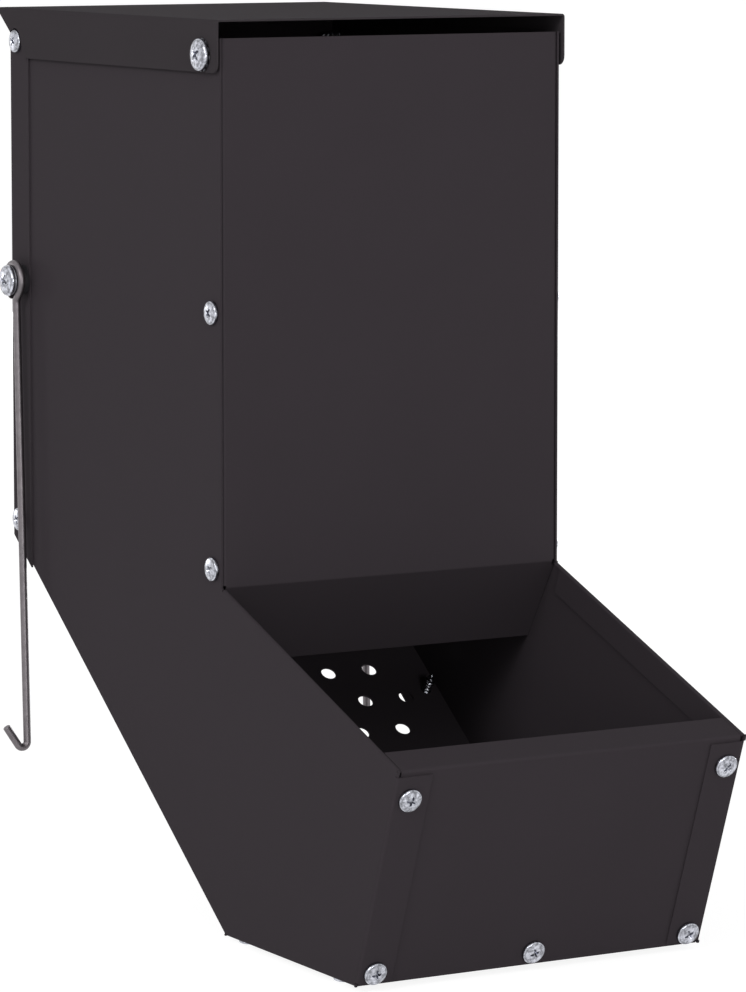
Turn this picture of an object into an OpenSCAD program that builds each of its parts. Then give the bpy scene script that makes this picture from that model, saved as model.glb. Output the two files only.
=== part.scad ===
// Rabbit feeder that hangs on a cage wall: a folded sheet-steel hopper with a hinged lid,
// a perforated chute, a trough that reaches into the cage, and two swinging wire hooks.
// X runs across the feeder, -Y points into the cage, +Z is up. All sizes are in millimetres.

/* [Hopper] */
// Outside width over the two side panels
body_w = 120; // [110:1:130]
// Depth from the cage face to the outside of the back panel
body_d = 143.5; // [138:0.5:149]
// Height of the side and front panels above the underside of the trough
panel_top = 273.4; // [262:0.2:285]

/* [Trough] */
// Length of the trough's level floor
floor_len = 80.5; // [74:0.5:86]
// How far in front of the cage face the level floor starts
heel = 1.4; // [0.6:0.1:3]
// Height of the trough's front edge
front_h = 67.7; // [64:0.1:71]
// Lean of the trough's front wall from upright, in degrees
front_lean = 20.1; // [17:0.1:23]
// Height at which the trough's rims meet the cage face
rim_back = 106.9; // [103:0.1:111]
// Angle of the chute above level, in degrees
chute_ang = 36.5; // [34.5:0.1:38.5]
// Depth of the lip that is folded back along the trough's front edge
lip_d = 10.9; // [8:0.1:13]
// Length of the baffle under the front panel
baffle_len = 30.6; // [26:0.1:33]
// Angle of the baffle from upright, in degrees
baffle_ang = 32; // [28:0.5:36]

/* [Sheet] */
// Thickness of the steel sheet
sheet = 0.6; // [0.5:0.05:0.7]
// Inside radius of the bends
bend = 0.4; // [0.3:0.05:0.5]
// Width of the side panels' flanges under the floor and the chute
flange_w = 14.5; // [13:0.1:16]
// Width of the side panels' flanges over the trough front
front_flange_w = 12; // [11:0.1:13]
// Depth of the hems along the trough's rims
hem_d = 9; // [7:0.1:10]
// Gap inside the fold of a hem
hem_gap = 0.3; // [0.2:0.05:0.4]
// Depth of the front panel's flanges inside the side panels
front_tab = 14; // [13:0.1:16]
// Depth of the back panel's flanges over the side panels
back_tab = 13.6; // [13:0.1:15]
// Height of the chute's upturned front end inside the trough front
front_upstand = 9; // [8:0.1:12]
// Height of the chute's upturned rear end inside the back panel
rear_upstand = 9; // [6:0.1:12]

/* [Lid] */
// Height of the lid's top above the tops of the side panels
lid_rise = 5.6; // [5.4:0.1:5.8]
// Depth of the lid's skirts
skirt_h = 16; // [15.5:0.1:17]
// How far the lid reaches beyond the back panel
lid_back = 6.7; // [4:0.1:9]
// How far the lid reaches in front of the cage face
lid_front = 0.9; // [0.5:0.1:1.2]
// Distance of the lid's pivot behind the cage face
pivot_y = 8; // [7.8:0.05:8.3]
// Distance of the lid's pivot below the lid's top
pivot_drop = 10.7; // [10.5:0.05:10.9]

/* [Sift holes] */
// Diameter of a sift hole
hole_d = 5; // [4:0.1:6]
// Distance between the holes of a row
hole_pitch = 15.3; // [14:0.1:16.5]
// Distance between rows up the chute
row_pitch = 13.65; // [12.5:0.05:14.5]
// Number of rows
rows = 9; // [7:1:10]
// Distance of the first row from the foot of the chute
first_row = 21.4; // [18:0.1:25]

/* [Small screws] */
// Diameter of a small screw's head
small_head_d = 7.4; // [6.6:0.1:7.6]
// Height of a small screw's head
small_head_h = 1.8; // [1.5:0.05:1.9]
// Thread diameter of a small screw
small_d = 3.5; // [3:0.1:3.9]
// Length of a small screw under its head
small_len = 8; // [7:0.1:9]

/* [Seams] */
// Distance of the trough's screws from the outsides of the side panels
seam_inset = 5.5; // [5:0.1:6.5]
// Distance of the front seam's screws behind the cage face
front_screw_y = 5; // [4.6:0.1:5.6]
// Height of the front seam's low screws above the rear ends of the rims
front_screw_up = 5.3; // [4.8:0.1:8]
// Height of the front seam's middle screws above the underside of the trough
mid_screw_z = 190.4; // [180:0.1:200]
// Distance of the back seam's screws in front of the back panel's outside
back_screw_in = 5.7; // [5.3:0.1:6]
// Height of the back seam's low screws above the lower ends of the side panels' rear edges
back_screw_up = 5.7; // [5.2:0.1:8]
// Distance of the front wall's lower screws from its foot
wall_screw_low = 4.4; // [4:0.1:5.2]
// Distance of the front wall's upper screws from its top
wall_screw_top = 9.6; // [9:0.1:12]
// Distance of the chute's screws from its foot
chute_screw_at = 92; // [80:0.5:104]
// Distances of the floor's screws from its rear end and from its front end
floor_screw_rear = 6.6; // [5.5:0.1:9]
floor_screw_front = 15.4; // [14:0.1:20]

/* [Pivot screws] */
// Diameter of a pivot screw's head
big_head_d = 10; // [9:0.1:10.2]
// Height of a pivot screw's head
big_head_h = 2.2; // [2:0.1:2.6]
// Shank diameter of a pivot screw
big_d = 5; // [4.5:0.1:5.2]
// Width across the flats of a nut
nut_af = 8; // [7.5:0.1:8.5]
// Thickness of a nut
nut_h = 4; // [3.5:0.1:4.5]
// How far a pivot screw ends past its nut
screw_past = 1.5; // [0.5:0.1:3]

/* [Hooks] */
// Diameter of the hook wire
wire_d = 2.5; // [2.2:0.05:2.7]
// Outside diameter of the plastic bush that a hook's eye turns on
bush_d = 8; // [7:0.1:8.4]
// Thickness of the bush's collar, which holds the eye clear of the small screws' heads
collar = 1.95; // [1.9:0.05:2.3]
// Distance of a hook's pivot in front of the back panel's outside
hook_back = 9.2; // [8.6:0.1:9.6]
// Height of a hook's pivot above the underside of the trough
hook_z = 191; // [181:0.5:200]
// Length of a hook from its pivot down to its lowest bend
hook_len = 150.7; // [141:0.1:156]
// How far a hook's arm passes in front of its pivot
arm_off = 1.2; // [0.6:0.1:1.4]
// Forward lean of a hanging hook, in degrees
hook_lean = 2.2; // [0:0.1:3]
// Angle that the hook's end is turned through
end_turn = 147; // [120:1:160]
// Length of the straight end of a hook
end_len = 7.5; // [5:0.1:10]

/* [Fits] */
// Free play around a turning shank or bush
play = 0.08; // [0.05:0.01:0.1]
// Gap between sheets that stand side by side
side_gap = 0.1; // [0.05:0.05:0.2]
// Gap between the lid's skirts and the back panel's flanges
skirt_gap = 0.3; // [0.2:0.05:0.5]
// Gap between washers and what turns beside them
washer_gap = 0.1; // [0.05:0.01:0.15]

/* [Hidden] */
$fn = 48;
half = body_w / 2;
// Anything larger than the feeder, for cutting tools
far = 400;
// How far a hole's tool reaches to either side of the face that it starts from
hole_reach = 6;
// How far a bore's tool runs past both ends of a small piece
over = 1;
// Outside radius of a bend
bend_out = bend + sheet;
// A bend is drawn thinner than the flats on each side, and runs this far into them
bend_thin = 0.005;
bend_lap = 0.02;
// The cage face's middle is the origin, so everything drops by this much
face_mid = (rim_back + panel_top) / 2;

// Directions in the side view, as [y, z]
chute_dir = [cos(chute_ang), sin(chute_ang)];
wall_dir = [-sin(front_lean), cos(front_lean)];

// Corners of a side panel's outside, as [y, z]
heel_pt = [-heel, 0];
toe_pt = [-heel - floor_len, 0];
rim_front = toe_pt + front_h / wall_dir[1] * wall_dir;
rim_back_pt = [0, rim_back];
rear_y = body_d - sheet - bend;
rear_low = heel_pt + (rear_y + heel) / chute_dir[0] * chute_dir;
rim_dir = (rim_back_pt - rim_front) / norm(rim_back_pt - rim_front);
side_line = [heel_pt, rear_low, [rear_y, panel_top], [0, panel_top], rim_back_pt, rim_front, toe_pt];
wall_len = norm(rim_front - toe_pt);
rim_len = norm(rim_back_pt - rim_front);
chute_len = norm(rear_low - heel_pt);

// Half width between the side panels
inner_half = half - sheet - side_gap;
// Half width of the sheets that lie on the side panels' flanges, up to the flanges' bends
laid_half = half - bend_out;
// Thickness of a hem
hem_t = 2 * sheet + hem_gap;

// Lid
lid_top = panel_top + lid_rise;
pivot_z = lid_top - pivot_drop;
skirt_in = half + sheet + skirt_gap;
lid_half = skirt_in + sheet;
skirt_low = lid_top - skirt_h;
lid_rear = body_d + lid_back;
skirt_round = 3;

// Places of the small screws
seam_x = half - seam_inset;
front_low_z = rim_back + front_screw_up;
back_low_z = rear_low[1] + back_screw_up;
back_screw_y = body_d - back_screw_in;
wall_screws = [wall_screw_low, wall_len - wall_screw_top];
floor_screws_y = [-heel - floor_screw_rear, -heel - floor_len + floor_screw_front];
pilot_r = small_d / 2 + 0.05;
shank_hole_r = big_d / 2 + play;

// Hooks
hook_y = body_d - hook_back;
back_face = half + sheet;
eye_r = bush_d / 2 + play + wire_d / 2;
wire_x = back_face + collar + washer_gap + wire_d / 2;
eye_out = wire_x + wire_d / 2 + washer_gap;
spring_washer = 0.5;
head_x = eye_out + spring_washer;

// Lid pivots
lid_collar = skirt_in - half - washer_gap;
tooth_washer = 0.5;
lid_head_x = lid_half + washer_gap + tooth_washer;
// The lid pivots' nuts seat on the front panel's flanges
lid_nut_x = inner_half - sheet - nut_h;

// Point where the lines p + s*a and q + t*b cross
function meet(p, a, q, b) =
    let (w = q - p)
    p + (w[0] * b[1] - w[1] * b[0]) / (a[0] * b[1] - a[1] * b[0]) * a;
function left_of(d) = [-d[1], d[0]];
function unit(v) = v / norm(v);
function turned(a, b) = atan2(a[0] * b[1] - a[1] * b[0], a * b);

// Everything on the left of the line through p along d
module left_half(p, d) {
    polygon([p - far * d, p + far * d, p + far * d + far * left_of(d), p - far * d + far * left_of(d)]);
}

// Places a shape drawn in the side view, as [y, z], and gives it the width x0 to x1
module across(x0, x1) {
    translate([x0, 0, 0]) rotate([90, 0, 90]) linear_extrude(x1 - x0) children();
}

// Section of a sheet that follows a line: the sheet lies on the line's left, and its
// corners are round bends
module strip(line) {
    last = len(line) - 1;
    dirs = [for (i = [1:last]) unit(line[i] - line[i - 1])];
    turns = [for (i = [1:last - 1]) turned(dirs[i - 1], dirs[i])];
    radii = [for (a = turns) a > 0 ? bend_out : bend];
    backs = concat([0], [for (i = [0:last - 2]) radii[i] * tan(abs(turns[i]) / 2)], [0]);
    for (i = [0:last - 1]) {
        a = line[i] + backs[i] * dirs[i];
        b = line[i + 1] - backs[i + 1] * dirs[i];
        up = sheet * left_of(dirs[i]);
        polygon([a, b, b + up, a + up]);
    }
    for (i = [1:last - 1]) {
        side = sign(turns[i - 1]);
        out_a = -side * left_of(dirs[i - 1]);
        out_b = -side * left_of(dirs[i]);
        mid = line[i] - backs[i] * dirs[i - 1] - radii[i - 1] * out_a;
        reach = 4 * bend_out;
        lap_a = reach * out_a - bend_lap * dirs[i - 1];
        lap_b = reach * out_b + bend_lap * dirs[i];
        intersection() {
            translate(mid) difference() {
                circle(bend_out - bend_thin);
                circle(bend + bend_thin);
            }
            polygon([mid - bend_lap * dirs[i - 1], mid + lap_a, mid + reach * unit(out_a + out_b),
                mid + lap_b, mid + bend_lap * dirs[i]]);
        }
    }
}

// Puts its child, a section in [inwards, into the side view], along the edge from p to q
// of the left side panel, between s0 and s1 along it
module along_edge(p, q, s0, s1) {
    d = unit(q - p);
    to = p + s1 * d;
    translate([-half, to[0], to[1]]) rotate([atan2(d[1], d[0]) + 90, 0, 0])
        linear_extrude(s1 - s0) children();
}

// Part of a ring for a bend: both faces are set back a little, and it runs into the flats
module bend_ring(r_out, wide, deep) {
    intersection() {
        translate([r_out, r_out]) difference() {
            circle(r_out - bend_thin);
            circle(r_out - sheet + bend_thin);
        }
        square([wide, deep]);
    }
}

// Section of a flange: the bend and the flat leg
module flange_section(width) {
    bend_ring(bend_out, bend_out + bend_lap, bend_out + bend_lap);
    translate([bend_out, 0]) square([width - bend_out, sheet]);
}

// Strip of the side view along the edge from p to q, as deep as a bend
module edge_band(p, q, s0, s1, deep) {
    d = unit(q - p);
    n = left_of(d);
    polygon([p + s0 * d - n, p + s1 * d - n, p + s1 * d + deep * n, p + s0 * d + deep * n]);
}

module left_side_solid() {
    // Slit between the end of a bend and the flat corner beyond it
    relief = 0.3;
    // Where each fold starts and ends along its edge
    chute_fold = [0.7, chute_len - 2.5];
    wall_fold = [2.2, wall_len - 1.1];
    floor_fold = [1.1, floor_len - 0.7];
    rim_fold = [1, rim_len - 0.8];
    rim_leg = [hem_d / 2, rim_len - 5 * sheet];
    hem_r = hem_t / 2;
    out = [-relief, relief];
    difference() {
        union() {
            across(-half, -half + sheet) difference() {
                polygon(side_line);
                edge_band(heel_pt, rear_low, (chute_fold + out)[0], (chute_fold + out)[1], bend_out);
                edge_band(rim_front, toe_pt, (wall_fold + out)[0], (wall_fold + out)[1], bend_out);
                edge_band(toe_pt, heel_pt, (floor_fold + out)[0], (floor_fold + out)[1], bend_out);
                edge_band(rim_back_pt, rim_front, (rim_fold + out)[0], (rim_fold + out)[1], hem_r);
            }
            along_edge(heel_pt, rear_low, chute_fold[0], chute_fold[1]) flange_section(flange_w);
            along_edge(rim_front, toe_pt, wall_fold[0], wall_fold[1]) flange_section(front_flange_w);
            along_edge(toe_pt, heel_pt, floor_fold[0], floor_fold[1]) flange_section(flange_w);
            // The rim's hem: a round fold and an inner layer
            along_edge(rim_back_pt, rim_front, rim_fold[0], rim_fold[1])
                bend_ring(hem_r, hem_t, hem_r + bend_lap);
            along_edge(rim_back_pt, rim_front, rim_leg[0], rim_leg[1])
                translate([hem_t - sheet, hem_r]) square([sheet, hem_d - hem_r]);
        }
        for (z = [front_low_z, mid_screw_z]) side_hole(front_screw_y, z, pilot_r);
        for (z = [back_low_z, pivot_z]) side_hole(back_screw_y, z, pilot_r);
        side_hole(pivot_y, pivot_z, shank_hole_r);
        side_hole(hook_y, hook_z, shank_hole_r);
        seam_holes();
    }
}

// Hole along Z, through whatever lies near z = 0
module hole(r) {
    translate([0, 0, -hole_reach]) cylinder(r = r, h = 2 * hole_reach);
}

// Hole through whatever stands on the left at a place in the side view
module side_hole(y, z, r) {
    outward(half, y, z) hole(r);
}

// Puts its child, built pointing up, on the left side, pointing outwards from x
module outward(x, y, z) {
    translate([-x, y, z]) rotate([0, -90, 0]) children();
}
// The same on the trough's front wall, under the chute and under the floor
module on_wall(x, along) {
    p = toe_pt + along * wall_dir;
    translate([x, p[0], p[1]]) rotate([90 + front_lean, 0, 0]) children();
}
module under_chute(x, along) {
    p = heel_pt + along * chute_dir;
    translate([x, p[0], p[1]]) rotate([180 + chute_ang, 0, 0]) children();
}
module under_floor(x, y) {
    translate([x, y, 0]) rotate([180, 0, 0]) children();
}

// Screw holes of the trough's seams
module seam_holes() {
    for (side = [-1, 1]) {
        for (along = wall_screws) on_wall(side * seam_x, along) hole(pilot_r);
        under_chute(side * seam_x, chute_screw_at) hole(pilot_r);
        for (y = floor_screws_y) under_floor(side * seam_x, y) hole(pilot_r);
    }
    on_wall(0, wall_screw_low) hole(pilot_r);
}

module left_side_panel() {
    color([0.22, 0.21, 0.22]) left_side_solid();
}

module right_side_panel() {
    color([0.22, 0.21, 0.22]) mirror([1, 0, 0]) left_side_solid();
}

// Front panel with the baffle below it and a flange inside each side panel
module front_panel() {
    baffle_dir = [sin(baffle_ang), -cos(baffle_ang)];
    baffle_end = rim_back_pt + baffle_len * baffle_dir;
    tab_low = rim_back + sheet;
    color([0.21, 0.2, 0.21]) difference() {
        union() {
            across(-inner_half + bend_out, inner_half - bend_out)
                strip([[0, panel_top], rim_back_pt, baffle_end]);
            // The baffle reaches the side panels below the flanges
            across(-inner_half, inner_half) intersection() {
                strip([[0, panel_top], rim_back_pt, baffle_end]);
                left_half([0, rim_back - bend_out], [-1, 0]);
            }
            translate([0, 0, tab_low]) linear_extrude(panel_top - tab_low)
                strip([[-inner_half, front_tab], [-inner_half, 0], [inner_half, 0], [inner_half, front_tab]]);
        }
        for (side = [0, 1]) mirror([side, 0, 0]) {
            for (z = [front_low_z, mid_screw_z]) side_hole(front_screw_y, z, pilot_r);
            side_hole(pivot_y, pivot_z, shank_hole_r);
        }
    }
}

// Back panel: its flanges wrap outside the side panels, and the lid rests above its top edge
module back_panel() {
    rest_gap = 0.3;
    top = lid_top - sheet - rest_gap;
    color([0.21, 0.2, 0.21]) difference() {
        linear_extrude(top) strip([[back_face, body_d - back_tab], [back_face, body_d],
            [-back_face, body_d], [-back_face, body_d - back_tab]]);
        // Its foot ends along the chute
        across(-far, far) left_half(heel_pt, -chute_dir);
        for (side = [0, 1]) mirror([side, 0, 0]) {
            // The flanges end level with the side panels
            translate([inner_half, 0, panel_top]) cube([far, far, far]);
            for (z = [back_low_z, pivot_z]) side_hole(back_screw_y, z, pilot_r);
            side_hole(hook_y, hook_z, shank_hole_r);
        }
    }
}

// Perforated chute and trough floor in one sheet, turned up at both ends
module feed_chute() {
    wall_off = 2 * sheet;
    lift = [0, sheet];
    wall_pt = toe_pt - wall_off * left_of(wall_dir);
    front_low = meet(wall_pt, wall_dir, lift, [1, 0]);
    chute_pt = heel_pt + sheet * left_of(chute_dir);
    floor_end = meet(chute_pt, chute_dir, lift, [1, 0]);
    rear_foot = meet(chute_pt, chute_dir, [body_d - sheet, 0], [0, 1]);
    color([0.2, 0.19, 0.2]) difference() {
        across(-laid_half, laid_half) strip([wall_pt + front_upstand * wall_dir, front_low, floor_end,
            rear_foot, rear_foot + [0, rear_upstand]]);
        for (row = [0:rows - 1]) {
            // Rows of six and of seven holes take turns
            count = row % 2 == 0 ? 6 : 7;
            for (k = [0:count - 1])
                under_chute((k - (count - 1) / 2) * hole_pitch, first_row + row * row_pitch)
                    hole(hole_d / 2);
        }
        seam_holes();
    }
}

// Front wall of the trough with its lip, which is folded back just below the rims
module trough_front() {
    lip_drop = 0.3;
    foot_gap = 0.1;
    // The wall is narrower where it passes between the hems, from this far below the rims
    notch_deep = 2.8;
    wall_pt = toe_pt - sheet * left_of(wall_dir);
    corner = meet(wall_pt, wall_dir, rim_front - lip_drop * left_of(rim_dir), rim_dir);
    foot = meet(wall_pt, wall_dir, [0, foot_gap], [1, 0]);
    color([0.22, 0.21, 0.22]) difference() {
        across(-laid_half, laid_half) strip([corner + lip_d * rim_dir, corner, foot]);
        for (side = [0, 1]) mirror([side, 0, 0])
            across(half - hem_t - side_gap, far) left_half(rim_front - notch_deep * left_of(rim_dir), rim_dir);
        seam_holes();
    }
}

// Lid: a plate with a skirt on each side, hinged near its front end
module lid() {
    // The skirts end in front of the upper back screws' heads, which they clear as the lid opens
    skirt_back = back_screw_y - small_head_d;
    relief_r = small_head_d / 2 + 0.5;
    color([0.25, 0.24, 0.25]) difference() {
        translate([0, lid_rear, 0]) rotate([90, 0, 0]) linear_extrude(lid_rear + lid_front)
            strip([[lid_half, skirt_low], [lid_half, lid_top], [-lid_half, lid_top], [-lid_half, skirt_low]]);
        for (side = [0, 1]) mirror([side, 0, 0]) {
            across(-lid_half - over, -half) {
                // Slanted rear end
                polygon([[skirt_back, skirt_low - over], [skirt_back, skirt_low], [lid_rear, lid_top - bend_out],
                    [far, lid_top - bend_out], [far, skirt_low - over]]);
                // Round relief about the screw's head, and a slant below it
                translate([back_screw_y, pivot_z]) circle(relief_r);
                polygon([[back_screw_y, pivot_z], [back_screw_y - relief_r, pivot_z],
                    [skirt_back, skirt_low - over], [back_screw_y, skirt_low - over]]);
                // Round front corner
                difference() {
                    translate([-lid_front - over, skirt_low - over]) square(skirt_round + over);
                    translate([-lid_front + skirt_round, skirt_low + skirt_round]) circle(skirt_round);
                }
            }
            side_hole(pivot_y, pivot_z, shank_hole_r);
        }
    }
}

// Wire hook, built around its pivot: eye, jog, arm and turned-out end
module hook_wire() {
    r = wire_d / 2;
    // Wire thins where it is bent, and a bend runs a little way into the straight wire
    bent_r = r - 0.02;
    lap = 0.1;
    jog_ang = 45;
    jog_bend = 2.5;
    end_bend = 1.8;
    eye_turn = 295;
    eye_end = 180 + jog_ang;
    eye_pt = eye_r * [cos(eye_end), sin(eye_end)];
    // The jog runs down and back from the eye to the arm's line
    jog_pt = eye_pt + (-arm_off - eye_pt[0]) * [1, -1];
    set_back = jog_bend * tan(jog_ang / 2);
    jog_len = norm(jog_pt - eye_pt) - set_back;
    arm_top = jog_pt[1] - set_back;
    rotate([-hook_lean, 0, 0]) {
        // Eye, in the plane of the arm
        rotate([90, 0, 90]) rotate([0, 0, eye_end - eye_turn]) bent_wire(eye_r, eye_turn, 0, lap, bent_r);
        // Jog
        translate([0, eye_pt[0], eye_pt[1]]) rotate([180 + jog_ang, 0, 0]) cylinder(r = r, h = jog_len);
        // Bend between the jog and the arm
        translate([0, -arm_off - jog_bend, arm_top]) rotate([90, 0, 90])
            bent_wire(jog_bend, jog_ang, lap, lap, bent_r);
        // Arm
        translate([0, -arm_off, -hook_len]) cylinder(r = r, h = hook_len + arm_top);
        // End, turned outwards
        translate([-end_bend, -arm_off, -hook_len]) {
            rotate([-90, 0, 0]) bent_wire(end_bend, end_turn, lap, lap, bent_r);
            rotate([0, end_turn + 180, 0]) translate([-end_bend, 0, 0]) cylinder(r = r, h = end_len);
        }
    }
}

// Arc of wire from +X, running on by lap0 before its start and lap1 past its end
module bent_wire(bend_r, turn, lap0, lap1, r) {
    over0 = lap0 / bend_r * 180 / PI;
    over1 = lap1 / bend_r * 180 / PI;
    rotate([0, 0, -over0]) rotate_extrude(angle = turn + over0 + over1)
        translate([bend_r, 0]) circle(r, $fn = 32);
}

module left_hook() {
    color([0.6, 0.6, 0.6]) translate([-wire_x, hook_y, hook_z]) hook_wire();
}

module right_hook() {
    color([0.6, 0.6, 0.6]) mirror([1, 0, 0]) translate([-wire_x, hook_y, hook_z]) hook_wire();
}

// Bush with a collar that the hook's eye turns on
module left_hook_bush_solid() {
    outward(back_face, hook_y, hook_z) difference() {
        union() {
            cylinder(d = 1.2 * bush_d, h = collar);
            cylinder(d = bush_d, h = eye_out - back_face);
        }
        translate([0, 0, -over]) cylinder(r = shank_hole_r, h = eye_out - back_face + 2 * over);
    }
}

module left_hook_bush() {
    color([0.15, 0.15, 0.16]) left_hook_bush_solid();
}

module right_hook_bush() {
    color([0.15, 0.15, 0.16]) mirror([1, 0, 0]) left_hook_bush_solid();
}

module washer(r, thick) {
    difference() {
        cylinder(r = r, h = thick);
        translate([0, 0, -over]) cylinder(r = shank_hole_r, h = thick + 2 * over);
    }
}

// Split spring washer outside the hook's eye
module hook_washers_solid() {
    slit = 0.6;
    outward(eye_out, hook_y, hook_z) difference() {
        washer(0.48 * big_head_d, spring_washer);
        rotate([0, 0, 205]) translate([0, -slit / 2, -over])
            cube([big_head_d, slit, spring_washer + 2 * over]);
    }
}

module left_hook_washers() {
    color([0.75, 0.75, 0.76]) hook_washers_solid();
}

module right_hook_washers() {
    color([0.75, 0.75, 0.76]) mirror([1, 0, 0]) hook_washers_solid();
}

// Pan head, as a revolved outline: upright edge, round shoulder and a low dome
module pan_head(d, h) {
    edge = 0.4 * h;
    shoulder = 0.5 * h;
    dome_r = 0.9 * d;
    rotate_extrude() intersection() {
        square([d / 2, h]);
        translate([0, h - dome_r]) circle(dome_r);
        union() {
            square([d / 2, edge]);
            translate([d / 2 - shoulder, edge]) circle(shoulder);
            square([d / 2 - shoulder, h]);
        }
    }
}

// Head with a cross recess for a screwdriver
module cross_head(d, h) {
    slot = 0.09 * d;
    difference() {
        pan_head(d, h);
        for (a = [0, 90]) rotate([0, 0, a]) translate([0, 0, h]) cube([d / 2, slot, 1.1 * h], center = true);
    }
}

// Screws point down from z = 0, with their heads above
module machine_screw(length) {
    cross_head(big_head_d, big_head_h);
    translate([0, 0, -length]) cylinder(d = big_d, h = length);
}

module small_screw() {
    tip = 3;
    tip_d = 0.6;
    cross_head(small_head_d, small_head_h);
    translate([0, 0, tip - small_len]) cylinder(d = small_d, h = small_len - tip);
    translate([0, 0, -small_len]) cylinder(d1 = tip_d, d2 = small_d, h = tip);
}

module nut() {
    difference() {
        cylinder(d = nut_af / cos(30), h = nut_h, $fn = 6);
        translate([0, 0, -over]) cylinder(r = shank_hole_r, h = nut_h + 2 * over);
    }
}

module left_hook_screw() {
    color([0.8, 0.8, 0.82]) hook_screw_solid();
}

module right_hook_screw() {
    color([0.8, 0.8, 0.82]) mirror([1, 0, 0]) hook_screw_solid();
}

module hook_screw_solid() {
    outward(head_x, hook_y, hook_z) machine_screw(head_x - half + sheet + nut_h + screw_past);
}

module left_hook_nut() {
    color([0.75, 0.75, 0.76]) outward(half - sheet - nut_h, hook_y, hook_z) nut();
}

module right_hook_nut() {
    color([0.75, 0.75, 0.76]) mirror([1, 0, 0]) outward(half - sheet - nut_h, hook_y, hook_z) nut();
}

// Spacer between the side panel and the lid's skirt, and a toothed washer under the head
module lid_washers_solid() {
    teeth = 12;
    tooth_d = 1.4;
    slit = 0.7;
    outer = 0.52 * big_head_d;
    outward(half, pivot_y, pivot_z) washer(0.48 * big_head_d, lid_collar);
    outward(lid_half + washer_gap, pivot_y, pivot_z) difference() {
        washer(outer, tooth_washer);
        for (k = [1:teeth]) rotate([0, 0, 360 * k / teeth])
            translate([outer - tooth_d, -slit / 2, -over]) cube([2 * tooth_d, slit, tooth_washer + 2 * over]);
    }
}

module left_lid_washers() {
    color([0.75, 0.75, 0.76]) lid_washers_solid();
}

module right_lid_washers() {
    color([0.75, 0.75, 0.76]) mirror([1, 0, 0]) lid_washers_solid();
}

module lid_screw_solid() {
    outward(lid_head_x, pivot_y, pivot_z) machine_screw(lid_head_x - lid_nut_x + screw_past);
}

module left_lid_screw() {
    color([0.8, 0.8, 0.82]) lid_screw_solid();
}

module right_lid_screw() {
    color([0.8, 0.8, 0.82]) mirror([1, 0, 0]) lid_screw_solid();
}

module left_lid_nut() {
    color([0.75, 0.75, 0.76]) outward(lid_nut_x, pivot_y, pivot_z) nut();
}

module right_lid_nut() {
    color([0.75, 0.75, 0.76]) mirror([1, 0, 0]) outward(lid_nut_x, pivot_y, pivot_z) nut();
}

// Four screws through the flanges of the trough front, and one in its middle
module trough_front_screws() {
    color([0.8, 0.8, 0.82]) {
        for (side = [-1, 1]) for (along = wall_screws) on_wall(side * seam_x, along) small_screw();
        on_wall(0, wall_screw_low) translate([0, 0, -sheet]) small_screw();
    }
}

module left_front_screws() {
    color([0.8, 0.8, 0.82]) for (z = [front_low_z, mid_screw_z])
        outward(half, front_screw_y, z) small_screw();
}

module right_front_screws() {
    color([0.8, 0.8, 0.82]) mirror([1, 0, 0]) for (z = [front_low_z, mid_screw_z])
        outward(half, front_screw_y, z) small_screw();
}

module left_back_screws() {
    color([0.8, 0.8, 0.82]) for (z = [back_low_z, pivot_z])
        outward(back_face, back_screw_y, z) small_screw();
}

module right_back_screws() {
    color([0.8, 0.8, 0.82]) mirror([1, 0, 0]) for (z = [back_low_z, pivot_z])
        outward(back_face, back_screw_y, z) small_screw();
}

module floor_screws() {
    color([0.8, 0.8, 0.82]) for (side = [-1, 1]) for (y = floor_screws_y)
        under_floor(side * seam_x, y) small_screw();
}

module chute_screws() {
    color([0.8, 0.8, 0.82]) for (side = [-1, 1])
        under_chute(side * seam_x, chute_screw_at) small_screw();
}

translate([0, 0, -face_mid]) {
    left_side_panel();
    right_side_panel();
    front_panel();
    back_panel();
    feed_chute();
    trough_front();
    lid();
    left_hook();
    right_hook();
    left_hook_bush();
    right_hook_bush();
    left_hook_washers();
    right_hook_washers();
    left_hook_screw();
    right_hook_screw();
    left_hook_nut();
    right_hook_nut();
    left_lid_washers();
    right_lid_washers();
    left_lid_screw();
    right_lid_screw();
    left_lid_nut();
    right_lid_nut();
    trough_front_screws();
    left_front_screws();
    right_front_screws();
    left_back_screws();
    right_back_screws();
    floor_screws();
    chute_screws();
}
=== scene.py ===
"""Looks of the cage feeder: powder-coated sheet, zinc-plated screws and drawn wire hooks.

The folded sheets are the CAD solids themselves, dressed with a powder coat. Screws, nuts,
washers, bushes and hooks are finer pieces that stand for their CAD solids, made as surfaces
of two parameters. Lengths below are in millimetres in the feeder's own frame unless a name
says otherwise, and each mesh is scaled to metres as it is laid.
"""

import logging
import math
from dataclasses import dataclass, field
from enum import Enum
from typing import Sequence

import bpy
import numpy as np
from mathutils import Matrix


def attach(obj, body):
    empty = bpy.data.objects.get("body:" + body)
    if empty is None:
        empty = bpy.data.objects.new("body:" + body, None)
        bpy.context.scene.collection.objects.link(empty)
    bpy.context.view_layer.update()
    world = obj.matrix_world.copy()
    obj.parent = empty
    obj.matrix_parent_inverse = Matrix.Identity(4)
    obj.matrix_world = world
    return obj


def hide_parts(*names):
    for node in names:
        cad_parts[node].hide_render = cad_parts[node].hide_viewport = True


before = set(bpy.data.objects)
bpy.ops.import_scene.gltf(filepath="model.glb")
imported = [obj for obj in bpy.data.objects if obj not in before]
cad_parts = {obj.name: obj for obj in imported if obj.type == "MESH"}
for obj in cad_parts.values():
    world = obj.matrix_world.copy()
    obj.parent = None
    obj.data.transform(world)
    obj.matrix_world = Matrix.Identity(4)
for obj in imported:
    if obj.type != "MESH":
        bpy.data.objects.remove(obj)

LOG = logging.getLogger("feeder")
MM = 0.001
MICRON = 1e-6
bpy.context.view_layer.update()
Vec = Sequence[float]
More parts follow.
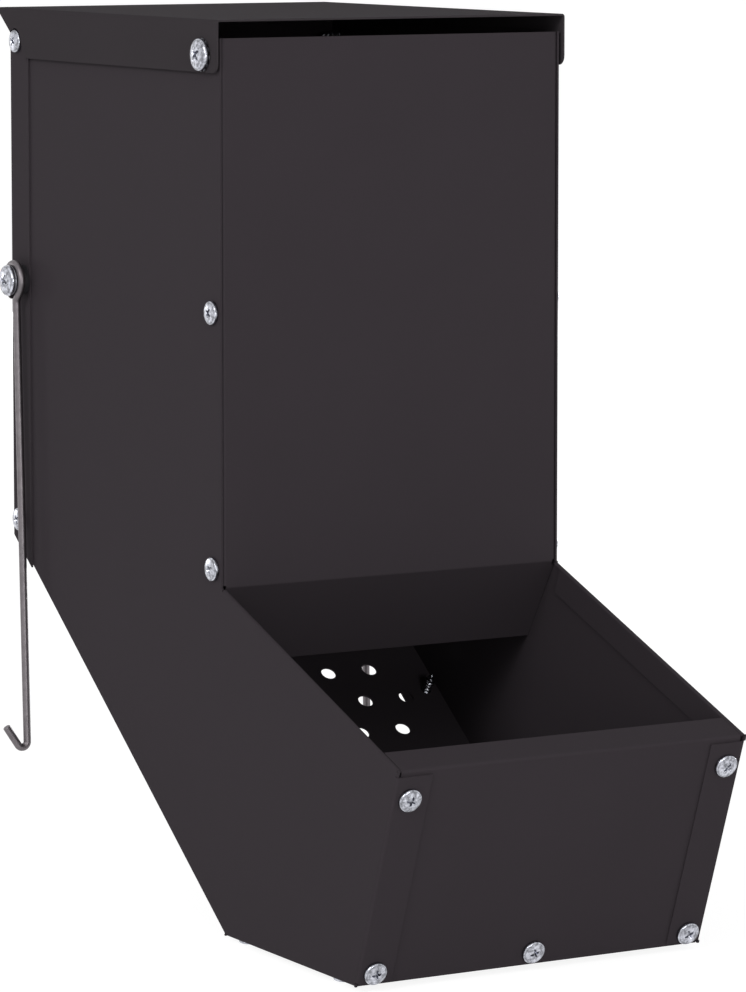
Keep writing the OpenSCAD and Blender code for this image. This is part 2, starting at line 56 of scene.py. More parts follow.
Pair = tuple[float, float]
Triple = tuple[float, float, float]
Colour = tuple[float, float, float, float]
WHITE: Colour = (1.0, 1.0, 1.0, 1.0)


# Shader maths


class Term:
    """A shader socket that can be used in Python expressions."""

    def __init__(self, graph: "Graph", socket: bpy.types.NodeSocket) -> None:
        """Wraps a socket.

        Args:
            graph: the graph that the socket belongs to.
            socket: the output socket.
        """
        self.graph, self.socket = graph, socket

    def _math(self, operation: str, a: object, b: object) -> "Term":
        """Adds one Math node and returns its value."""
        return self.graph.add("ShaderNodeMath", {"operation": operation}, {0: a, 1: b})

    def __add__(self, other: object) -> "Term":
        """Sum."""
        return self._math("ADD", self, other)

    __radd__ = __add__

    def __sub__(self, other: object) -> "Term":
        """Difference."""
        return self._math("SUBTRACT", self, other)

    def __rsub__(self, other: object) -> "Term":
        """Difference with the number first."""
        return self._math("SUBTRACT", other, self)

    def __mul__(self, other: object) -> "Term":
        """Product."""
        return self._math("MULTIPLY", self, other)

    __rmul__ = __mul__

    def maximum(self, other: object) -> "Term":
        """The larger of two values."""
        return self._math("MAXIMUM", self, other)

    def clamped(self) -> "Term":
        """The value held between 0 and 1."""
        return self._math("MINIMUM", self.maximum(0.0), 1.0)


class Graph:
    """Node graph of one material or world."""

    def __init__(self, tree: bpy.types.NodeTree) -> None:
        """Empties the tree and keeps it.

        Args:
            tree: the node tree to fill.
        """
        self.tree = tree
        tree.nodes.clear()

    def add(self, kind: str, settings: dict | None = None, inputs: dict | None = None,
            out: str | None = None) -> Term | None:
        """Adds a node of any type.

        Args:
            kind: the node's type name.
            settings: attributes set before the sockets, such as an operation.
            inputs: socket name or number to a value or a Term.
            out: name of the output that is wanted, or None for the first in use.

        Returns:
            The output, or None where the node has none.
        """
        node = self.tree.nodes.new(kind)
        for key, value in (settings or {}).items():
            setattr(node, key, value)
        for key, value in (inputs or {}).items():
            if isinstance(value, Term):
                self.tree.links.new(value.socket, node.inputs[key])
            else:
                node.inputs[key].default_value = value
        if out:
            return Term(self, node.outputs[out])
        return next((Term(self, socket) for socket in node.outputs if socket.enabled), None)

    def mix(self, share: object, a: object, b: object) -> Term:
        """The colour a, with b in its place by a share from 0 to 1."""
        return self.add("ShaderNodeMix", {"data_type": "RGBA"}, {0: share, 6: a, 7: b})

    def place(self) -> Term:
        """Object coordinates, in metres from the feeder's origin."""
        return self.add("ShaderNodeTexCoord", out="Object")

    def attribute(self, name: str) -> Term:
        """The mesh's own value of a name, point by point."""
        return self.add("ShaderNodeAttribute", {"attribute_name": name}, out="Fac")

    def stretched(self, where: Term, scale: Vec) -> Term:
        """Coordinates scaled along X, Y and Z."""
        return self.add("ShaderNodeMapping", {}, {"Vector": where, "Scale": tuple(scale)})

    def noise(self, where: Term, size_mm: float, detail: float = 2.0, rough: float = 0.5) -> Term:
        """Noise from 0 to 1 in blotches, with finer layers over it.

        Args:
            where: the coordinates.
            size_mm: width of the blotches.
            detail: number of finer layers.
            rough: strength of the finer layers.

        Returns:
            The noise.
        """
        inputs = {"Scale": 1 / (size_mm * MM), "Detail": detail, "Roughness": rough}
        return self.add("ShaderNodeTexNoise", {"noise_dimensions": "3D"},
                        {"Vector": where, **inputs})

    def bump(self, height: Term, relief_um: float, over: Term | None = None) -> Term:
        """Normal of a relief.

        Args:
            height: the relief's shape, from 0 to 1.
            relief_um: its height, in thousandths of a millimetre.
            over: the normal that it lies on, or None for the surface's own.

        Returns:
            The normal.
        """
        inputs = {"Strength": 1.0, "Distance": relief_um * MICRON, "Height": height}
        return self.add("ShaderNodeBump", {}, {**inputs, **({"Normal": over} if over else {})})

    def surface(self, inputs: dict) -> None:
        """Ends the graph in a Principled shader with these sockets."""
        shader = self.add("ShaderNodeBsdfPrincipled", {}, inputs)
        self.add("ShaderNodeOutputMaterial", {}, {"Surface": shader})


def new_material(name: str) -> tuple[bpy.types.Material, Graph]:
    """Adds an empty material.

    Args:
        name: the material's name.

    Returns:
        The material and its graph.
    """
    made = bpy.data.materials.new(name)
    made.use_nodes = True
    return made, Graph(made.node_tree)


def tone(levels: Vec, share: float = 1.0) -> Colour:
    """Linear light of a colour: the display curve undone, then scaled.

    Args:
        levels: three display levels from 0 to 255.
        share: how much of the light is kept.

    Returns:
        The colour with full alpha.
    """
    value = np.asarray(levels, float) / 255
    low, high = value / 12.92, ((value + 0.055) / 1.055) ** 2.4
    return (*(np.where(value < 0.04045, low, high) * share).tolist(), 1.0)


# Finishes


@dataclass(frozen=True)
class PowderCoat:
    """Dark grey powder coat: fine orange peel, faint clouds of tone and a satin sheen.

    Attributes:
        name: the material's name.
        levels: display levels of the coat.
        cloud: how far the tone drifts, as a share.
        cloud_mm: width of the clouds.
        grain_mm: width of the fine grain.
        peel_mm: width of the coat's ripples.
        peel_um: height of the ripples, in thousandths of a millimetre.
        edge_mm: radius at which bare edges look rounded by the coat.
        roughness: mean roughness.
        sheen: specular level.
    """

    name: str = "powder_coat"
    levels: tuple[int, int, int] = (58, 53, 57)
    cloud: float = 0.1
    cloud_mm: float = 38.0
    grain_mm: float = 0.35
    peel_mm: float = 0.9
    peel_um: float = 22.0
    edge_mm: float = 0.12
    roughness: float = 0.78
    sheen: float = 0.05

    def material(self) -> bpy.types.Material:
        """Builds the material.

        Returns:
            A new material.
        """
        made, graph = new_material(self.name)
        where = graph.place()
        clouds = graph.noise(where, self.cloud_mm, 3.0)
        grain = graph.noise(where, self.grain_mm, 1.0)
        peel = graph.noise(where, self.peel_mm, 2.0, 0.45)
        rounded = graph.add("ShaderNodeBevel", {"samples": 4}, {"Radius": self.edge_mm * MM})
        by_cloud, cloud_swing, grain_swing, grain_relief = 0.55, 0.06, 0.05, 0.35
        rough = self.roughness - (cloud_swing + grain_swing) / 2
        graph.surface({
            "Base Color": graph.mix(clouds * by_cloud + grain * (1 - by_cloud),
                                    tone(self.levels, 1 - self.cloud),
                                    tone(self.levels, 1 + self.cloud)),
            "Roughness": clouds * cloud_swing + grain * grain_swing + rough,
            "Specular IOR Level": self.sheen,
            "Normal": graph.bump(peel + grain * grain_relief, self.peel_um, rounded),
        })
        return made


@dataclass(frozen=True)
class ZincPlate:
    """Bright zinc plate: random dark mottles painted in as dark reflections, fine tool marks, and
    painted shade in recesses and under edges.

    The mesh's attribute "shade" is painted shade: 1 where light fails to reach, in recesses and
    under edges.

    Attributes:
        name: the material's name.
        levels: display levels of the bright metal.
        dark_reflection_share: share of the brightness that is left in the dark mottles, which are
            painted dark reflections.
        mottle_mm: size of the mottles.
        roughness: mean roughness.
        cloud: how far the roughness drifts.
        marks: stretch of the fine tool marks along X, Y and Z.
        relief_um: height of mottles and marks, in thousandths of a millimetre.
        painted_shade_share: share of the brightness that is left where the painted shade is full.
        mark_mm: width of the fine tool marks.
    """

    name: str = "zinc_plate"
    levels: tuple[int, int, int] = (219, 221, 231)
    dark_reflection_share: float = 0.28
    mottle_mm: float = 1.25
    roughness: float = 0.24
    cloud: float = 0.14
    marks: Triple = (1.0, 1.0, 1.0)
    relief_um: float = 8.0
    painted_shade_share: float = 0.1
    mark_mm: float = 0.3

    def material(self) -> bpy.types.Material:
        """Builds the material.

        Returns:
            A new material.
        """
        made, graph = new_material(self.name)
        where = graph.place()
        clouds = graph.noise(where, self.mottle_mm, 3.0, 0.62)
        marks = graph.noise(graph.stretched(where, self.marks), self.mark_mm, 2.0, 0.6)
        # Painted reflection: random mottles darken the metal where a patchy surround would show
        # dark in it; fine tool marks are mixed in.
        contrast, start, by_marks = 3.6, 1.25, 0.14
        reflection_mottles_and_marks = (clouds * contrast - start).clamped() * (1 - by_marks) + marks * by_marks
        metal = graph.mix(reflection_mottles_and_marks, tone(self.levels), tone(self.levels, self.dark_reflection_share))
        # Painted shade: the colour falls towards a dark tone where the mesh's shade attribute is
        # high.
        painted_shade_weight, mark_swing, mark_relief = 0.8, 0.08, 0.5
        rough = self.roughness - (self.cloud + mark_swing) / 2
        graph.surface({
            "Base Color": graph.mix(graph.attribute("shade") * painted_shade_weight, metal,
                                    tone(self.levels, self.painted_shade_share)),
            "Metallic": 1.0,
            "Roughness": clouds * self.cloud + marks * mark_swing + rough,
            "Normal": graph.bump(marks * mark_relief + clouds, self.relief_um),
        })
        return made


@dataclass(frozen=True)
class Nylon:
    """Nylon of the bushes, kept near black as painted shade beside the hook's eye: matte, with a
    fine grain.

    Attributes:
        name: the material's name.
        levels: display levels of the plastic, near black as painted shade.
        grain_mm: width of the grain.
        relief_um: height of the grain, in thousandths of a millimetre.
        roughness: mean roughness.
        sheen: specular level.
    """

    name: str = "nylon_as_painted_shade"
    # Painted shade: the bush is kept near black to stand for the shadow beside the hook's eye.
    levels: tuple[int, int, int] = (38, 37, 40)
    grain_mm: float = 0.4
    relief_um: float = 6.0
    roughness: float = 0.5
    sheen: float = 0.3

    def material(self) -> bpy.types.Material:
        """Builds the material.

        Returns:
            A new material.
        """
        made, graph = new_material(self.name)
        grain = graph.noise(graph.place(), self.grain_mm, 2.0)
        drift, swing = 0.2, 0.1
        graph.surface({
            "Base Color": graph.mix(grain, tone(self.levels, 1 - drift),
                                    tone(self.levels, 1 + drift)),
            "Roughness": grain * swing + (self.roughness - swing / 2),
            "Specular IOR Level": self.sheen,
            "Normal": graph.bump(grain, self.relief_um),
        })
        return made


class Finish(Enum):
    """Finishes of the feeder's pieces, each with the record's slot that it stands for."""

    COAT = ("sheet", PowderCoat())
    # The lid's copy of the coat: its tone is set lighter than the body's to match the light that
    # falls on the lid, painted light; its sheen is lower.
    LID_LIT_COAT = ("sheet", PowderCoat("lid_powder_coat_lit_copy", (61, 57, 60), sheen=0.012))
    SCREW = ("screw", ZincPlate("bright_screw_zinc"))
    WASHER = ("zinc", ZincPlate("washer_zinc", (216, 219, 227), 0.45, 1.4, 0.3))
    WIRE = ("wire", ZincPlate("drawn_wire_zinc", (122, 117, 120), 0.8, 2.4, 0.46, 0.08,
                              (1.2, 1.2, 0.1), 2.5))
    NYLON = ("bush", Nylon())

    @property
    def slot(self) -> str:
        """The record's material slot."""
        return self.value[0]

    def material(self) -> bpy.types.Material:
        """The finish's material, made once."""
        return bpy.data.materials.get(self.value[1].name) or self.value[1].material()


# Surfaces

ROUND = 48
WELD_MM = 1e-4


@dataclass
class Shell:
    """A mesh as whole arrays.

    Attributes:
        points: where the corners are, of shape (n, 3).
        faces: the numbers of each face's corners, of shape (m, 4). A triangle repeats its last.
        shade: for each point the dark painted into its colour, from 0, open to the light, to 1,
            deep in a recess: painted shade, and on a head's shoulder a painted dark reflection.
    """

    points: np.ndarray
    faces: np.ndarray
    shade: np.ndarray = field(default_factory=lambda: np.zeros(0))

    def __post_init__(self) -> None:
        """Gives every point a shade."""
        if len(self.shade) != len(self.points):
            self.shade = np.zeros(len(self.points))

    @staticmethod
    def join(shells: Sequence["Shell"]) -> "Shell":
        """Puts shells into one, with their points numbered on.

        Args:
            shells: the shells.

        Returns:
            One shell.
        """
        starts = np.cumsum([0] + [len(s.points) for s in shells[:-1]])
        faces = np.concatenate([s.faces + start for s, start in zip(shells, starts)])
        return Shell(np.concatenate([s.points for s in shells]), faces,
                     np.concatenate([s.shade for s in shells]))

    def welded(self) -> "Shell":
        """Merges points closer than WELD_MM, and drops faces that shrink to a line.

        Returns:
            The merged shell.
        """
        keys = np.round(self.points / WELD_MM).astype(np.int64)
        _, first, place = np.unique(keys, axis=0, return_index=True, return_inverse=True)
        faces = place.reshape(-1)[self.faces]
        corners = 1 + (np.diff(np.sort(faces, axis=1), axis=1) != 0).sum(axis=1)
        return Shell(self.points[first], faces[corners >= 3], self.shade[first])

    def placed(self, matrix: np.ndarray) -> "Shell":
        """Moves the shell, and turns its faces if the matrix mirrors.

        Args:
            matrix: a 4 by 4 matrix.

        Returns:
            The moved shell.
        """
        points = self.points @ matrix[:3, :3].T + matrix[:3, 3]
        flips = np.linalg.det(matrix[:3, :3]) < 0
        return Shell(points, self.faces[:, ::-1] if flips else self.faces, self.shade)


def stacked(x: object, y: object, z: object) -> np.ndarray:
    """Coordinates, each an array or a number, as one array of shape (..., 3)."""
    return np.stack(np.broadcast_arrays(x, y, z), -1)


def tube_faces(rows: int, columns: int, wrap_rows: bool = False, wrap: bool = True) -> np.ndarray:
    """Faces of a grid of points numbered row by row.

    Args:
        rows: number of rows.
        columns: number of points in a row.
        wrap_rows: whether the last row joins the first.
        wrap: whether a row's last point joins its first.

    Returns:
        An array of shape (faces, 4).
    """
    row = np.arange(rows if wrap_rows else rows - 1)[:, None]
    column = np.arange(columns if wrap else columns - 1)[None, :]
    next_row, next_column = (row + 1) % rows, (column + 1) % columns
    corners = (row * columns + column, row * columns + next_column,
               next_row * columns + next_column, next_row * columns + column)
    return np.stack(corners, -1).reshape(-1, 4)


def revolved(radius: np.ndarray, height: np.ndarray, steps: int = ROUND,
             closed: bool = False) -> Shell:
    """Surface of revolution about Z: (radius cos a, radius sin a, height).

    Args:
        radius: radii of the outline, or an array of shape (outline, steps).
        height: heights of the outline, of the same shape.
        steps: points round a circle.
        closed: whether the outline's last point joins its first.

    Returns:
        The shell. Its faces point outwards for an outline that climbs outside.
    """
    angle = np.linspace(0, 2 * np.pi, steps, endpoint=False)
    r, z = radius.reshape(len(radius), -1), height.reshape(len(height), -1)
    points = stacked(r * np.cos(angle), r * np.sin(angle), z)
    return Shell(points.reshape(-1, 3), tube_faces(len(radius), steps, closed))


def rounded_outline(corners: Sequence[Vec], radii: Sequence[float], steps: int = 4) -> np.ndarray:
    """Closed or open outline with round corners: each corner is cut back and follows an arc.

    The arc is a quadratic curve from the cut on one side to the cut on the other, with the
    corner as its middle control point.

    Args:
        corners: the outline's corners in order.
        radii: how far each corner is cut back, 0 for a sharp one.
        steps: points in a round corner.

    Returns:
        Points of shape (n, 2).
    """
    c = np.asarray(corners, float)
    before, after = np.roll(c, 1, 0) - c, np.roll(c, -1, 0) - c
    cut = np.asarray(radii, float)[:, None]
    a = c + cut * before / np.maximum(np.linalg.norm(before, axis=1, keepdims=True), 1e-9)
    b = c + cut * after / np.maximum(np.linalg.norm(after, axis=1, keepdims=True), 1e-9)
    t = np.linspace(0, 1, steps)[None, :, None]
    arcs = (1 - t) ** 2 * a[:, None] + 2 * t * (1 - t) * c[:, None] + t**2 * b[:, None]
    return arcs.reshape(-1, 2)


def bar_outline(inner: float, outer: float, thick: float, edge: float,
                steps: int = 4) -> np.ndarray:
    """Section of a flat ring that stands on height 0: a bar with round edges.

    Args:
        inner: inner radius.
        outer: outer radius.
        thick: height.
        edge: how far each edge is cut back.
        steps: points in a round edge.

    Returns:
        Points of shape (n, 2).
    """
    corners = [(outer, 0), (outer, thick), (inner, thick), (inner, 0)]
    return rounded_outline(corners, [edge] * 4, steps)


# Fasteners

# Where a pan head's dome ends in its shoulder and where its rim turns, as shares of its radius
SHOULDER, RIM = 0.86, 0.985
# Height of the rim's foot, cut of the rim's bend and reach of the painted shade at the head's
# foot, of its height
FOOT, BEND, UNDER = 0.12, 0.26, 0.3
# A slot's width, of the cross; its fall and taper, of its half; and its walls' band, of its width
SLOT_WIDE, SLOT_FALL, SLOT_TAPER, WALL_WIDE = 0.22, 0.42, 0.3, 0.22
# Strength of the painted dark reflection ringing the shoulder and of the painted shade in the
# recess, and the ring's width, of the radius
SHOULDER_PAINTED_REFLECTION, RECESS_PAINTED_SHADE, SHOULDER_BAND = 0.6, 0.55, 0.045


@dataclass(frozen=True)
class CrossHead:
    """Domed pan head with a cross recess, underside at height 0.

    Attributes:
        diameter: the head's diameter.
        height: the head's height.
        recess: the cross's tip-to-tip length.
        depth: the recess's depth.
        crown: radius of the dome, as a multiple of the diameter.
    """

    diameter: float
    height: float
    recess: float
    depth: float
    crown: float

    def top_at(self, radius: np.ndarray) -> np.ndarray:
        """Height of the dome: a sphere's cap, whose radius is crown times the diameter."""
        ball = self.crown * self.diameter
        return self.height - ball + np.sqrt(ball**2 - radius**2)

    def recess_at(self, x: np.ndarray, y: np.ndarray) -> np.ndarray:
        """Share of the recess's depth: two crossed slots, narrower and shallower at their ends.

        The deeper of the two slots and of a round middle holds.

        Args:
            x: distances along one slot.
            y: distances along the other.

        Returns:
            Shares from 0 on the dome to 1 at the bottom.
        """
        middle = np.clip(1.25 - np.hypot(x, y) / (0.8 * SLOT_WIDE * self.recess), 0, 1)
        return np.maximum(np.maximum(self.slot_at(x, y), self.slot_at(y, x)), middle)

    def slot_at(self, along: np.ndarray, across: np.ndarray) -> np.ndarray:
        """Depth of one slot: it falls over its outer part, and its walls rise in a narrow band.

        Args:
            along: distances along the slot.
            across: distances across it.

        Returns:
            Shares of the depth.
        """
        half, wide = self.recess / 2, SLOT_WIDE * self.recess
        fall = np.clip((half - np.abs(along)) / (SLOT_FALL * half), 0, 1)
        width = wide * (1 - SLOT_TAPER * np.clip(np.abs(along) / half, 0, 1)) / 2
        wall = np.clip((width - np.abs(across)) / (WALL_WIDE * wide) + 0.5, 0, 1)
        return fall * wall * wall * (3 - 2 * wall)

    def shoulder_at(self, radius: np.ndarray) -> np.ndarray:
        """Painted dark reflection on the shoulder, as a dark ring: a bell curve of the radius
        about the shoulder's.
        """
        off = (2 * radius / self.diameter - SHOULDER) / SHOULDER_BAND
        return SHOULDER_PAINTED_REFLECTION * np.exp(-off**2)

    def shell(self, neck: float) -> Shell:
        """Builds the head.

        The top is a square grid bent to a disc, (u sqrt(1 - v v / 2), v sqrt(1 - u u / 2)),
        with lines close together where the recess is. Rings then follow the rim down.

        Args:
            neck: radius at which the underside ends on the shank.

        Returns:
            The shell, open at the neck.
        """
        rim = self.diameter / 2
        top_r = SHOULDER * rim
        margin, fine, coarse, lip = 1.04, 35, 6, 0.06
        dense = self.recess / 2 / top_r * margin
        outer = np.linspace(dense, 1, coarse)[1:]
        lines = np.concatenate([-outer[::-1], np.linspace(-dense, dense, fine), outer])
        u, v = np.meshgrid(lines, lines, indexing="ij")
        x = top_r * u * np.sqrt(1 - v * v / 2)
        y = top_r * v * np.sqrt(1 - u * u / 2)
        deep = self.recess_at(x, y)
        z = self.top_at(np.hypot(x, y)) - self.depth * deep
        # Painted shade in the recess, and a painted dark reflection ringing the shoulder, for the
        # top's points.
        painted_dark = np.maximum(RECESS_PAINTED_SHADE * deep**0.7, self.shoulder_at(np.hypot(x, y)))
        grid = Shell(stacked(x, y, z).reshape(-1, 3),
                     tube_faces(len(lines), len(lines), wrap=False), painted_dark.reshape(-1))
        turn = np.arctan2(y, x)
        turn = np.concatenate([turn[-1, :-1], turn[:0:-1, -1], turn[0, :0:-1], turn[:-1, 0]])
        top_z, rim_z = (float(self.top_at(np.array(r))) for r in (top_r, RIM * rim))
        bend = rounded_outline(
            [(top_r, top_z), (RIM * rim, rim_z), (rim, FOOT * self.height), (rim - lip, 0),
             (neck, 0)],
            [0, BEND * self.height, 0.1, 0.05, 0], 7)
        rows = stacked(bend[:, :1] * np.cos(turn), bend[:, :1] * np.sin(turn), bend[:, 1:])
        # Painted shade: the head's side darkens towards its foot and underside, where it meets the
        # sheet.
        low = np.clip(1 - bend[:, 1] / (UNDER * self.height), 0, 1)
        # The shoulder's painted dark reflection also reaches the rim's upper rows.
        low = np.maximum(low, self.shoulder_at(bend[:, 0]) * (bend[:, 1] > 0.5 * rim_z))
        side = Shell(rows.reshape(-1, 3), tube_faces(len(bend), len(turn))[:, ::-1],
                     np.repeat(low, len(turn)))
        return Shell.join([grid, side]).welded()


@dataclass(frozen=True)
class Thread:
    """Threaded shank that runs down from height 0.

    Attributes:
        core: core radius.
        crest: crest radius.
        pitch: distance from crest to crest.
        length: length from the head's underside.
        tip: length of the tapered tip, 0 for a blunt end with a chamfer.
        plain: length of the plain shank below the head.
    """

    core: float
    crest: float
    pitch: float
    length: float
    tip: float = 0.0
    plain: float = 0.6

    def shell(self) -> Shell:
        """Builds the shank.

        The radius is the core's plus a ridge wherever depth / pitch + angle / turn is near a
        whole number. The ridge fades in below the plain part, and core and ridge shrink
        towards the tip.

        Returns:
            The shell, open at height 0 and closed at its end.
        """
        steps, per_pitch, half_ridge, fade = 30, 12, 0.24, 0.6
        rows = int(self.length / self.pitch * per_pitch)
        depth = np.linspace(0, self.length, rows)[:, None]
        angle = np.linspace(0, 1, steps, endpoint=False)[None, :]
        phase = (depth / self.pitch + angle) % 1
        ridge = np.clip(1 - np.abs(phase - 0.5) / half_ridge, 0, 1)
        fade_in = np.clip((depth - self.plain) / (fade * self.pitch), 0, 1)
        if self.tip:
            left = np.clip((self.length - depth) / self.tip, 0, 1)
            core = self.core * (0.1 + 0.9 * left**0.8)
            crest_fade = np.clip(left * 3, 0, 1)
        else:
            chamfer = 0.6 * (self.crest - self.core) + 0.2
            left = np.clip((self.length - depth) / chamfer, 0, 1)
            core = self.core * (0.9 + 0.1 * left)
            crest_fade = left
        radius = core + (self.crest - self.core) * ridge * fade_in * crest_fade
        head = np.full((1, steps), self.core)
        radius = np.concatenate([head, radius, np.zeros((1, steps))])
        height = -np.concatenate([np.zeros((1, 1)), depth, [[self.length]]])
        shell = revolved(radius, height, steps)
        return Shell(shell.points, shell.faces[:, ::-1]).welded()


def screw(head: CrossHead, thread: Thread) -> Shell:
    """A whole screw: its head above height 0 and its shank below."""
    return Shell.join([head.shell(thread.core), thread.shell()]).welded()


def hex_nut(flats: float, height: float, bore: float, pitch: float) -> Shell:
    """Hexagon nut about Z with chamfered corners and a threaded bore, standing on height 0.

    The hexagon's radius is half the flats over cos of the angle from the nearest flat's
    middle. Beyond the chamfer's circle, the faces fall by the extra radius times tan 30.

    Args:
        flats: width across the flats.
        height: thickness.
        bore: thread's crest radius inside the bore.
        pitch: thread's pitch.

    Returns:
        The closed shell.
    """
    steps, rows, deep, chamfer, mouth_cut = 72, 28, 0.22, 0.975, 0.35
    angle = np.linspace(0, 2 * np.pi, steps, endpoint=False)
    off = (angle + np.pi / 6) % (np.pi / 3) - np.pi / 6
    flat = np.ones(steps)
    hexagon, circle = flats / 2 / np.cos(off), flat * chamfer * flats / 2
    mouth = flat * (bore + mouth_cut)
    fall = np.maximum(hexagon - circle, 0) * math.tan(math.radians(30))
    levels = np.linspace(0, height, rows)[1:-1]
    phase = (levels[:, None] / pitch + angle / (2 * np.pi)) % 1
    groove = deep * (1 - np.abs(2 * phase - 1))
    radius = np.concatenate([[mouth, circle, hexagon, hexagon, circle, mouth],
                             bore + groove[::-1]])
    z = np.concatenate([[flat * 0, flat * 0, fall, height - fall, flat * height, flat * height],
                        np.broadcast_to(levels[::-1, None], groove.shape)])
    return revolved(radius, z, steps, closed=True)


def split_washer(inner: float, outer: float, thick: float, lift: float, gap_at: float) -> Shell:
    """Spring washer about Z on height 0: a square bar along an arc that climbs by lift.

    Args:
        inner: inner radius.
        outer: outer radius.
        thick: the bar's height.
        lift: how far one end stands above the other.
        gap_at: angle of the split, in degrees.

    Returns:
        The closed shell.
    """
    steps, half_gap, edge = 64, 4, 0.07
    turn = np.linspace(0, 1, steps)[:, None]
    angle = np.radians(gap_at + half_gap + (360 - 2 * half_gap) * turn)
    outline = bar_outline(inner, outer, thick, edge, 3)
    r, z = outline[None, :, 0], outline[None, :, 1] + lift * turn
    points = stacked(r * np.cos(angle), r * np.sin(angle), z)
    size = outline.shape[0]
    faces = [tube_faces(steps, size)[:, ::-1]]
    cap = np.array([[0, i, i + 1, i + 1] for i in range(1, size - 1)])
    faces += [cap, (cap + (steps - 1) * size)[:, ::-1]]
    return Shell(points.reshape(-1, 3), np.concatenate(faces))


def toothed_washer(inner: float, outer: float, thick: float, teeth: int) -> Shell:
    """Lock washer about Z on height 0, with outer teeth that are cut free and twisted.

    Outside its solid band the radius falls back in the gaps between teeth, and the height
    swings with the angle across each tooth.

    Args:
        inner: inner radius.
        outer: outer radius.
        thick: overall height with the twisted teeth.
        teeth: number of teeth.

    Returns:
        The closed shell.
    """
    per_tooth, gap, root = 10, 0.12, 0.08
    steps = teeth * per_tooth
    place = (np.arange(steps) % per_tooth) / (per_tooth - 1)
    in_gap = (place < gap) | (place > 1 - gap)
    band = inner + 0.5 * (outer - inner)
    sheet = 0.55 * thick
    twist = (place - 0.5) * (thick - sheet)
    middle = thick / 2
    share = np.array([0, 0.45, 0.8, 1.0])[:, None]
    reach = np.where(in_gap, band + root, outer)
    r_out = band + (reach - band) * share
    bent = middle + twist * share * ~in_gap
    flat = np.full((1, steps), inner)
    radius = np.concatenate([flat, r_out, r_out[::-1], flat])
    height = np.concatenate([np.full((1, steps), middle - sheet / 2), bent - sheet / 2,
                             (bent + sheet / 2)[::-1], np.full((1, steps), middle + sheet / 2)])
    return revolved(radius, height, steps, closed=True)


# Placing and laying


class Side(Enum):
    """The feeder's two sides."""

    LEFT = -1
    RIGHT = 1

    @property
    def word(self) -> str:
        """Lower-case name, as in the CAD nodes' names."""
        return self.name.lower()


def frame_at(origin: Vec, out: Vec, spin: float = 0.0) -> np.ndarray:
    """Matrix that takes local +Z to a direction, with a spin about it.

    The local X axis goes to the direction crossed with the world's up, or with Y where the
    direction is upright.

    Args:
        origin: where local zero goes.
        out: the direction.
        spin: turn about the direction, in degrees.

    Returns:
        A 4 by 4 matrix.
    """
    upright = 0.9
    z = np.asarray(out, float) / np.linalg.norm(out)
    helper = np.array([0.0, 0.0, 1.0] if abs(z[2]) < upright else [0.0, 1.0, 0.0])
    x = np.cross(helper, z)
    x /= np.linalg.norm(x)
    y = np.cross(z, x)
    c, s = math.cos(math.radians(spin)), math.sin(math.radians(spin))
    made = np.eye(4)
    made[:3, 0], made[:3, 1], made[:3, 2] = c * x + s * y, c * y - s * x, z
    made[:3, 3] = origin
    return made


def linked(name: str, data: bpy.types.ID) -> bpy.types.Object:
    """Puts a mesh, a lamp or a camera into the scene.

    Args:
        name: the object's name.
        data: what it shows.

    Returns:
        The new object.
    """
    made = bpy.data.objects.new(name, data)
    bpy.context.scene.collection.objects.link(made)
    return made


def lay(name: str, shell: Shell, finish: Finish, body: str, stands_for: str,
        sharp: float = 32.0) -> None:
    """Puts a shell into the scene as a piece that rides on a body and stands for a CAD node.

    Args:
        name: the piece's name.
        shell: its surface, in millimetres.
        finish: its finish.
        body: the CAD body that it rides on.
        stands_for: the CAD node that it replaces.
        sharp: edges steeper than this angle in degrees stay sharp.
    """
    mesh = bpy.data.meshes.new(name)
    corners = [list(dict.fromkeys(face)) for face in shell.faces.tolist()]
    mesh.from_pydata((shell.points * MM).tolist(), [], corners)
    mesh.polygons.foreach_set("use_smooth", np.ones(len(mesh.polygons), bool))
    mesh.set_sharp_from_angle(angle=math.radians(sharp))
    # Painted shade of each point, by which the zinc finish darkens its colour.
    mesh.attributes.new("shade", "FLOAT", "POINT").data.foreach_set("value", shell.shade)
    mesh.materials.append(finish.material())
    mesh.validate()
    mesh.update()
    made = linked(name, mesh)
    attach(made, body)
    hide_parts(stands_for)
    LOG.info("%s: %d faces, rides on %s, stands for %s", name, len(mesh.polygons), body,
             stands_for)


# Sub-assemblies


